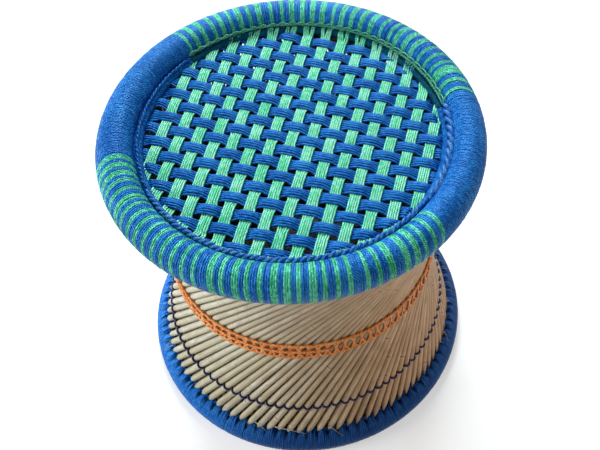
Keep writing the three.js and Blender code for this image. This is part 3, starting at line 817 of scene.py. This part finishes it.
def edge_chain(start, end, out, up, size, lay, seed):
    """A rope of two strands along the seat's edge, moved out and up by so much, which wavers by 0.35 mm
    and is thin at both ends."""
    wave = lambda angle: 0.35 * MM * np.sin(angle * 41 + seed)
    radius_at = lambda angle: EDGE_RADIUS + out + wave(angle)
    height_at = lambda angle: EDGE_HEIGHT + up + 0.7 * wave(angle + 1.3)
    steps = round((end - start) * EDGE_RADIUS / (1.15 * MM))
    share = np.linspace(0, 1, steps)
    swell = size * (0.5 + 0.5 * smooth_step(np.minimum(share, 1 - share) * 20))
    return twisted_pair(start, end, radius_at, height_at, swell, swell, lay, steps, seed)


# The edge's cords stop this short of where the windings meet, in radians
WINDING_GAP = 0.004

start, end = math.radians(BACK_START) + WINDING_GAP, math.radians(LEFT_START) - WINDING_GAP
tall_at_right = lambda angle: (0.4 + 3.0 * np.cos(angle / 2) ** 6) * MM
loop_radius, loop_height = EDGE_RADIUS + 0.2 * MM, EDGE_HEIGHT + 0.2 * MM
back_chain = [
    edge_chain(start, end, 0, 0, 0.75 * MM, 8 * MM, 61),
    loops(start, end, loop_radius, loop_height, 11 * MM, tall_at_right, 4.4 * MM, 0.75 * MM, 63),
]
# The back chain's lighter green is painted light
make_piece("edge_chain_green", back_chain, lit_chain_green, "green_cord", "edge_cord_back")
# The back binding's dark teal is painted shade
make_piece("hoop_binding_back_painted_shade", [hoop_binding(start, end, 65)], hoop_shade_cord, "green_cord")

start, end = math.radians(LEFT_START) + WINDING_GAP, math.radians(BACK_START + 360) - WINDING_GAP
front_start, right_start = math.radians(203), math.radians(320)
left_chain = edge_chain(start, front_start, -2 * MM, -1.8 * MM, 1 * MM, 12 * MM, 67)
make_piece("edge_chain_left", [left_chain], seat_blue, "blue_cord")
front_chain = [
    edge_chain(front_start, right_start, -1 * MM, -0.6 * MM, 1.5 * MM, 13 * MM, 62),
    edge_chain(right_start, end, 1.4 * MM, 1.4 * MM, 2.2 * MM, 22 * MM, 68),
]
# The front chain's lighter blue is painted light
make_piece("edge_chain_blue", front_chain, lit_chain_blue, "blue_cord", "edge_cord_front")
make_piece("hoop_binding_front", [hoop_binding(start, end, 66)], seat_blue, "blue_cord")


# Waist band and foot twine


def on_reeds(height, stand_off):
    """Distance from the axis of a line that lies on the outer reeds, stand_off beyond their skin, and dips
    0.5 mm into each gap."""

    def radius_at(angle):
        place = (angle - outer_reed_turn(height)) * OUTER.count
        return outer_reed_radius(height) + OUTER.size + stand_off + 0.25 * MM * np.cos(place)

    return radius_at


def band_border(height, seed):
    """A twisted pair all the way round at a height."""
    radius_at, height_at = on_reeds(height, 1.1 * MM), lambda angle: height
    return twisted_pair(0, TURN, radius_at, height_at, 0.9 * MM, 1.2 * MM, 9 * MM, 1440, seed, 0.6)


upper, lower = BAND_HEIGHT + BORDER_OFFSET, BAND_HEIGHT - BORDER_OFFSET
make_piece("band_upper_border", [band_border(upper, 71)], orange_cord, "orange_cord", "band_cord_upper")
make_piece("band_lower_border", [band_border(lower, 72)], orange_cord, "orange_cord", "band_cord_lower")


def band_lattice(seed):
    """Two strands between the borders, each at height + swing sign(cos(p)) sqrt(|cos(p)|) with p = 48 angle
    + phase, about half a period apart, so that they leave a round opening at each reed. They are thicker
    round the left of the stool, stand off the reeds by 0.9 mm, pass over and under one another by 0.5 mm,
    and lap over the borders at their crests."""
    rng = np.random.default_rng(seed)
    angle = full_turn(1920)[None]
    phase = angle * OUTER.count / 2 + np.array([[0.0], [3.0]])
    wave = np.sign(np.cos(phase)) * np.sqrt(np.abs(np.cos(phase)))
    uneven = 1 + 0.05 * np.sin(angle * 31 + np.array([[0.0], [2.0]]))
    height = BAND_HEIGHT + (BORDER_OFFSET - 0.2 * MM) * wave * uneven
    over = 0.5 * MM * np.sin(phase) * np.array([[1], [-1]])
    stand_off = 0.9 * MM + over + 1.2 * MM * np.abs(wave) ** 6
    path = ring_point(angle, outer_reed_radius(height) + OUTER.size + stand_off, height)
    wide = (1.65 - 0.45 * np.cos(angle - 0.6)) * MM
    shift, tone = rng.uniform(0, 1, 2), rng.uniform(0, 1, 2)
    return tubes(path, outwards(angle), 0.9 * MM, wide, sides=6, closed=True, shift=shift, tone=tone)


def band_middle(seed):
    """A pair of strands along the band's middle, round the stool's left, thinning out at both ends."""
    start, end, steps = math.radians(150), math.radians(281), 560
    share = np.linspace(0, 1, steps)
    size = 1.25 * MM * (0.2 + 0.8 * smooth_step(np.minimum(share, 1 - share) * 14))
    radius_at, height_at = on_reeds(BAND_HEIGHT, 1.8 * MM), lambda angle: BAND_HEIGHT
    return twisted_pair(start, end, radius_at, height_at, 0.8 * MM, size, 8 * MM, steps, seed, 0.6)


lacing = [band_lattice(73), band_middle(74)]
make_piece("band_lattice", lacing, orange_cord, "orange_cord", "band_lacing")


def foot_twine(seed):
    """Twine that hugs each outer reed: at angle q round the reed it stands off the reed's middle line by
    (1.05 reed size + 0.9 twine size) (cos(q) outward + sin(q) sideways), q from -78 to 78 degrees, and
    steps to the next reed between."""
    rng = np.random.default_rng(seed)
    q = np.radians(np.linspace(-78, 78, 13))[:, None]
    height = np.full((OUTER.count, 1), TWINE_HEIGHT)
    crest = reed_line(OUTER, waist_angles(OUTER), height)
    radial = unit(crest * (1 - UP))
    across = unit(np.cross(UP, radial) * math.cos(OUTER.lean) - 0.55 * math.sin(OUTER.lean) * UP)
    off = 1.05 * OUTER.size + 0.9 * TWINE_SIZE
    lift = rng.normal(0, 0.5 * MM, (OUTER.count, 1, 1)) * UP
    path = crest + off * (np.cos(q) * radial + np.sin(q) * across) + lift
    outward = np.repeat(radial, len(q), 1).reshape(1, -1, 3)
    return tubes(path.reshape(1, -1, 3), outward, TWINE_SIZE, TWINE_SIZE, closed=True, tone=0.4)


make_piece("foot_twine_loops", [foot_twine(81)], navy_twine, "navy_cord", "foot_stitch")

# The longest loose fibres at the front: the foot's place in degrees, and the way that the fibre runs round
# the ring in radians and outwards in millimetres
FRONT_FIBRES = (
    (-115, 0.09, 6),
    (-107, 0.21, 5),
    (-87, 0.09, 12),
    (-1, -0.07, -3),
    (-9, 0.01, 5),
    (-23, -0.04, 13),
    (-28, 0.01, 5),
    (-166, 0.03, 9),
    (-163, -0.03, 12),
)
BACK_FIBRES = 9


def loose_fibres(seed):
    """Splinters and fibres torn from the reeds' feet. Each starts among the feet and runs round and mostly
    outwards over the base roll, 1.8 mm above its cords, which stand 9.5 mm smooth((peak - radius) / 9 mm)
    above the roll's top, with a bow of up to 2.5 mm."""
    rng = np.random.default_rng(seed)
    place, way_round, way_out = np.array(FRONT_FIBRES).T
    start = np.radians(np.concatenate([place, rng.uniform(20, 170, BACK_FIBRES)]))
    sweep = np.concatenate([way_round, rng.uniform(-0.1, 0.1, BACK_FIBRES)])
    reach = np.concatenate([way_out, rng.uniform(3, 12, BACK_FIBRES)]) * MM
    count = len(start)
    share = np.linspace(0, 1, 12)
    angle = start[:, None] + sweep[:, None] * share
    first, peak = BASE_RADIUS - 6.5 * MM, BASE_RADIUS + 5 * MM
    radius = first + 1.5 * MM * rng.uniform(0, 1, (count, 1)) + reach[:, None] * share
    top = BASE_TOP + 9.5 * MM * smooth_step((peak - radius) / (9 * MM))
    height = top + 1.8 * MM + rng.uniform(0, 2.5, (count, 1)) * MM * np.sin(math.pi * share)
    size = rng.uniform(0.45, 0.7, (count, 1)) * MM * (1 - 0.7 * share)
    path = ring_point(angle, radius, height)
    return tubes(path, UP, size, size, sides=5, shift=rng.uniform(0, 1, count), tone=0.9)


make_piece("loose_reed_fibres", [loose_fibres(91)], reed, "reed")


# Floor, camera and light


def floor():
    """A pale disc, 6 m across. From 0.2 m out the camera, gloss and glass see half of its white as a glow,
    and from 0.7 to 2.2 m that grows to nearly all of it, so that it runs into the backdrop and still keeps
    the shadow."""
    corners = ring_point(full_turn(64), 3.0, 0.0)
    mesh = bpy.data.meshes.new("floor")
    mesh.from_pydata(corners.tolist(), [], [list(range(len(corners)))])
    finish = Finish("floor", Roughness=0.9, Specular_IOR_Level=0.1, Emission_Strength=1.0)
    grain = finish.noise(finish.place(), 40.0, 4.0)
    finish.feed("Base Color", finish.mix(grain, srgb(196, 196, 196), srgb(204, 204, 204)))
    far = finish.node("ShaderNodeVectorMath", {"operation": "LENGTH"}, [finish.place()], "Value")
    seen = finish.background_seen() * far.band(0.2, 0.205)
    glow = finish.mix(far.band(0.7, 2.2), (0.5, 0.5, 0.5, 1), (0.97, 0.97, 0.97, 1))
    finish.feed("Emission Color", finish.mix(seen, (0, 0, 0, 1), glow))
    mesh.materials.append(finish.material)
    disc = bpy.data.objects.new("floor", mesh)
    bpy.context.scene.collection.objects.link(disc)


def turned_about(vector, axis, angle):
    """vector turned round a unit axis: v cos(a) + (axis x v) sin(a) + axis (axis . v) (1 - cos(a))."""
    part = vector * math.cos(angle) + axis.cross(vector) * math.sin(angle)
    return part + axis * axis.dot(vector) * (1 - math.cos(angle))


def photo_camera():
    """The photograph's camera: at a distance from the rim's middle, raised above the level, looking at it,
    then panned, tilted and rolled, with the picture's middle shifted. The picture's width, the focal
    length and the shift are in pixels."""
    distance, raised = 838.3 * MM, math.radians(48.31)
    roll, pan, tilt = (math.radians(value) for value in (-4.38, -5.57, -6.99))
    picture_width, focal_length, shift = 600, 800, -80
    rim_middle = Vector((0, 0, RIM_HEIGHT))
    place = rim_middle + distance * Vector((0, -math.cos(raised), math.sin(raised)))
    ahead = (rim_middle - place).normalized()
    right = Vector((1, 0, 0))
    above = right.cross(ahead)
    ahead, right = turned_about(ahead, above, pan), turned_about(right, above, pan)
    ahead, above = turned_about(ahead, right, tilt), turned_about(above, right, tilt)
    level = math.cos(roll) * right + math.sin(roll) * above
    plumb = -math.sin(roll) * right + math.cos(roll) * above
    lens = bpy.data.cameras.new("camera")
    lens.sensor_width = 36
    lens.lens = lens.sensor_width * focal_length / picture_width
    lens.shift_x = shift / picture_width
    lens.clip_start = 0.05
    camera = bpy.data.objects.new("camera", lens)
    camera.matrix_world = Matrix.Translation(place) @ Matrix((level, plumb, -ahead)).transposed().to_4x4()
    bpy.context.scene.collection.objects.link(camera)
    bpy.context.scene.camera = camera


def soft_lamp(name, place, aim, width, power, colour):
    """A square lamp of a width that faces aim."""
    lamp = bpy.data.lights.new(name, "AREA")
    lamp.size, lamp.energy, lamp.color = width, power, colour
    holder = bpy.data.objects.new(name, lamp)
    facing = (Vector(aim) - Vector(place)).to_track_quat("-Z", "Y")
    holder.matrix_world = Matrix.Translation(place) @ facing.to_matrix().to_4x4()
    bpy.context.scene.collection.objects.link(holder)


def plain_world(light):
    """White where the camera, gloss or glass sees it, and a share of that white as light."""
    world = bpy.data.worlds.new("studio")
    world.use_nodes = True
    bpy.context.scene.world = world
    nodes = Nodes(world.node_tree)
    strength = light + nodes.background_seen() * (1 - light)
    sky = nodes.tree.nodes["Background"].inputs
    sky["Color"].default_value = (1, 1, 1, 1)
    nodes.tree.links.new(strength.socket, sky["Strength"])


floor()
photo_camera()
plain_world(0.15)
soft_lamp("window", (-1.95, -0.1, 0.85), (0, 0, 0.2), width=1.3, power=42, colour=(0.93, 0.97, 1.0))
soft_lamp("skylight", (0.0, 1.75, 1.8), (0, 0, 0.35), width=1.1, power=83, colour=(0.88, 0.98, 1.0))
soft_lamp("warm_side", (1.5, -1.6, 0.6), (0, 0, 0.12), width=1.6, power=12, colour=(1.0, 0.85, 0.68))
bpy.context.scene.view_settings.view_transform = "Standard"
